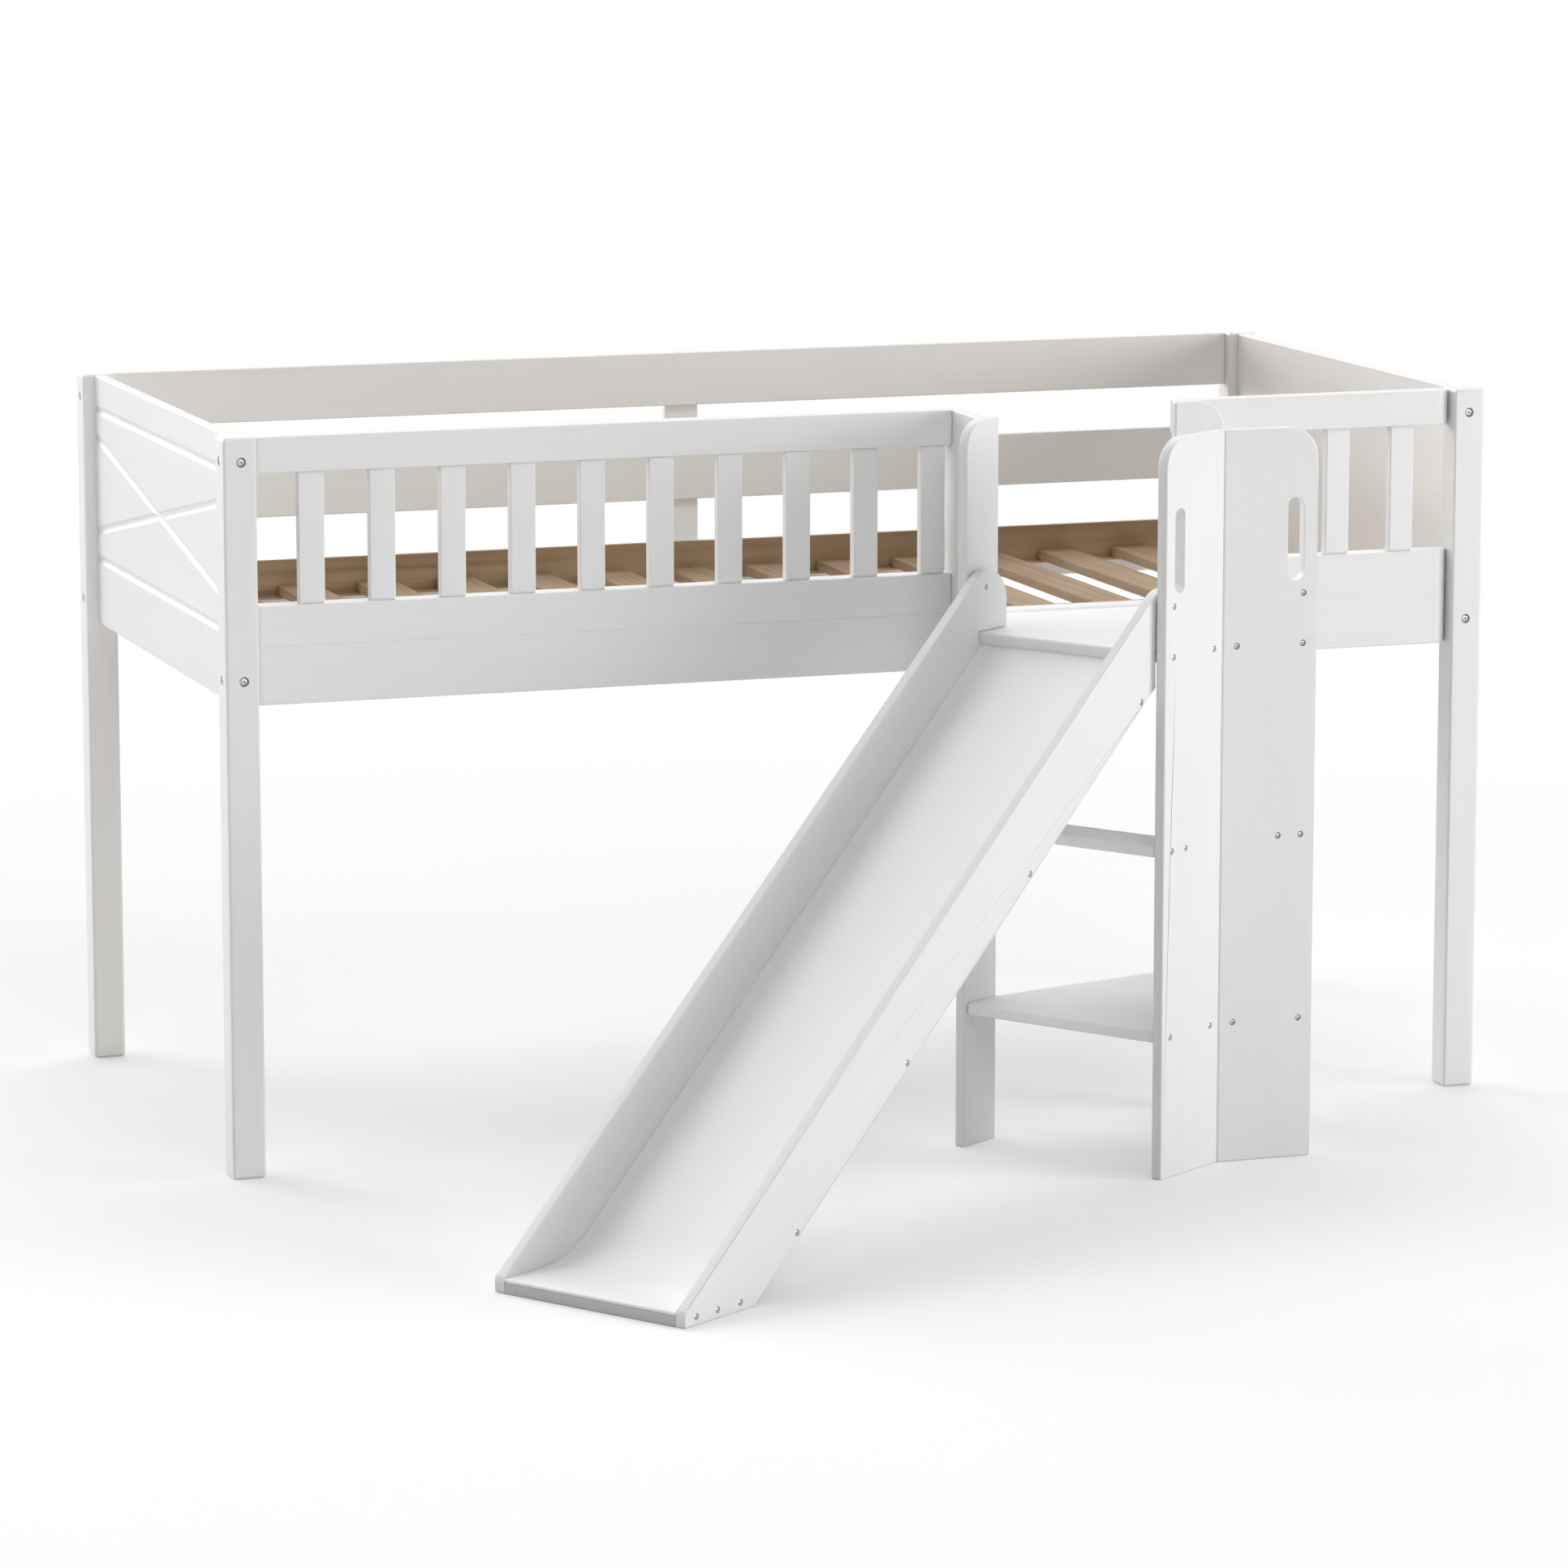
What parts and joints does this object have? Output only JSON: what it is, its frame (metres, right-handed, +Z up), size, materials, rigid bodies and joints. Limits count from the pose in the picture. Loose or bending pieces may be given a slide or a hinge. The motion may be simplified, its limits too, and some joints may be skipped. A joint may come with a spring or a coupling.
{
  "type": "loft bed with slide",
  "caption": "Low loft bed with a slatted base behind guard rails, an angled corner tower with ladder treads, and a straight slide.",
  "frame": {"origin": "middle of the footprint, on the floor", "axes": "+X along the bed towards the ladder end, +Y towards the closed back side, +Z up"},
  "size_m": [2.075, 2.0594, 1.14],
  "materials": {
    "painted_wood": "satin white paint",
    "slide_laminate": "smooth white laminate",
    "pine": "oiled, unpainted",
    "zinc": "zinc plated"
  },
  "bodies": {
    "root": {"post_front_left": "painted_wood", "post_front_right": "painted_wood", "post_back_left": "painted_wood", "post_back_right": "painted_wood", "end_panel_left": "painted_wood", "end_panel_right": "painted_wood", "side_rail_front": "painted_wood", "side_rail_back": "painted_wood", "back_board_lower": "painted_wood", "back_board_upper": "painted_wood", "back_stile": "painted_wood", "guard_strip_left": "painted_wood", "guard_rail_left": "painted_wood", "guard_slat_left_1": "painted_wood", "guard_slat_left_2": "painted_wood", "guard_slat_left_3": "painted_wood", "guard_slat_left_4": "painted_wood", "guard_slat_left_5": "painted_wood", "guard_slat_left_6": "painted_wood", "guard_slat_left_7": "painted_wood", "guard_slat_left_8": "painted_wood", "guard_slat_left_9": "painted_wood", "guard_slat_left_10": "painted_wood", "guard_strip_right": "painted_wood", "guard_rail_right": "painted_wood", "guard_slat_right_1": "painted_wood", "guard_slat_right_2": "painted_wood", "guard_slat_right_3": "painted_wood", "guard_slat_right_4": "painted_wood", "ledger_front": "pine", "ledger_back": "pine", "bed_slat_01": "pine", "bed_slat_02": "pine", "bed_slat_03": "pine", "bed_slat_04": "pine", "bed_slat_05": "pine", "bed_slat_06": "pine", "bed_slat_07": "pine", "bed_slat_08": "pine", "bed_slat_09": "pine", "bed_slat_10": "pine", "bed_slat_11": "pine", "bed_slat_12": "pine", "bed_slat_13": "pine", "bed_slat_14": "pine", "bed_slat_15": "pine", "tower_outer_ladder": "painted_wood", "tower_inner_ladder": "painted_wood", "tread_ladder": "painted_wood", "tower_outer_slide": "painted_wood", "tower_inner_slide": "painted_wood", "tread_slide": "painted_wood", "tower_spacer": "painted_wood", "platform": "painted_wood", "lower_shelf": "painted_wood", "slide_panel_right": "painted_wood", "slide_panel_left": "painted_wood", "slide_sheet": "slide_laminate", "slide_foot_board": "painted_wood"}
  },
  "joints": []
}
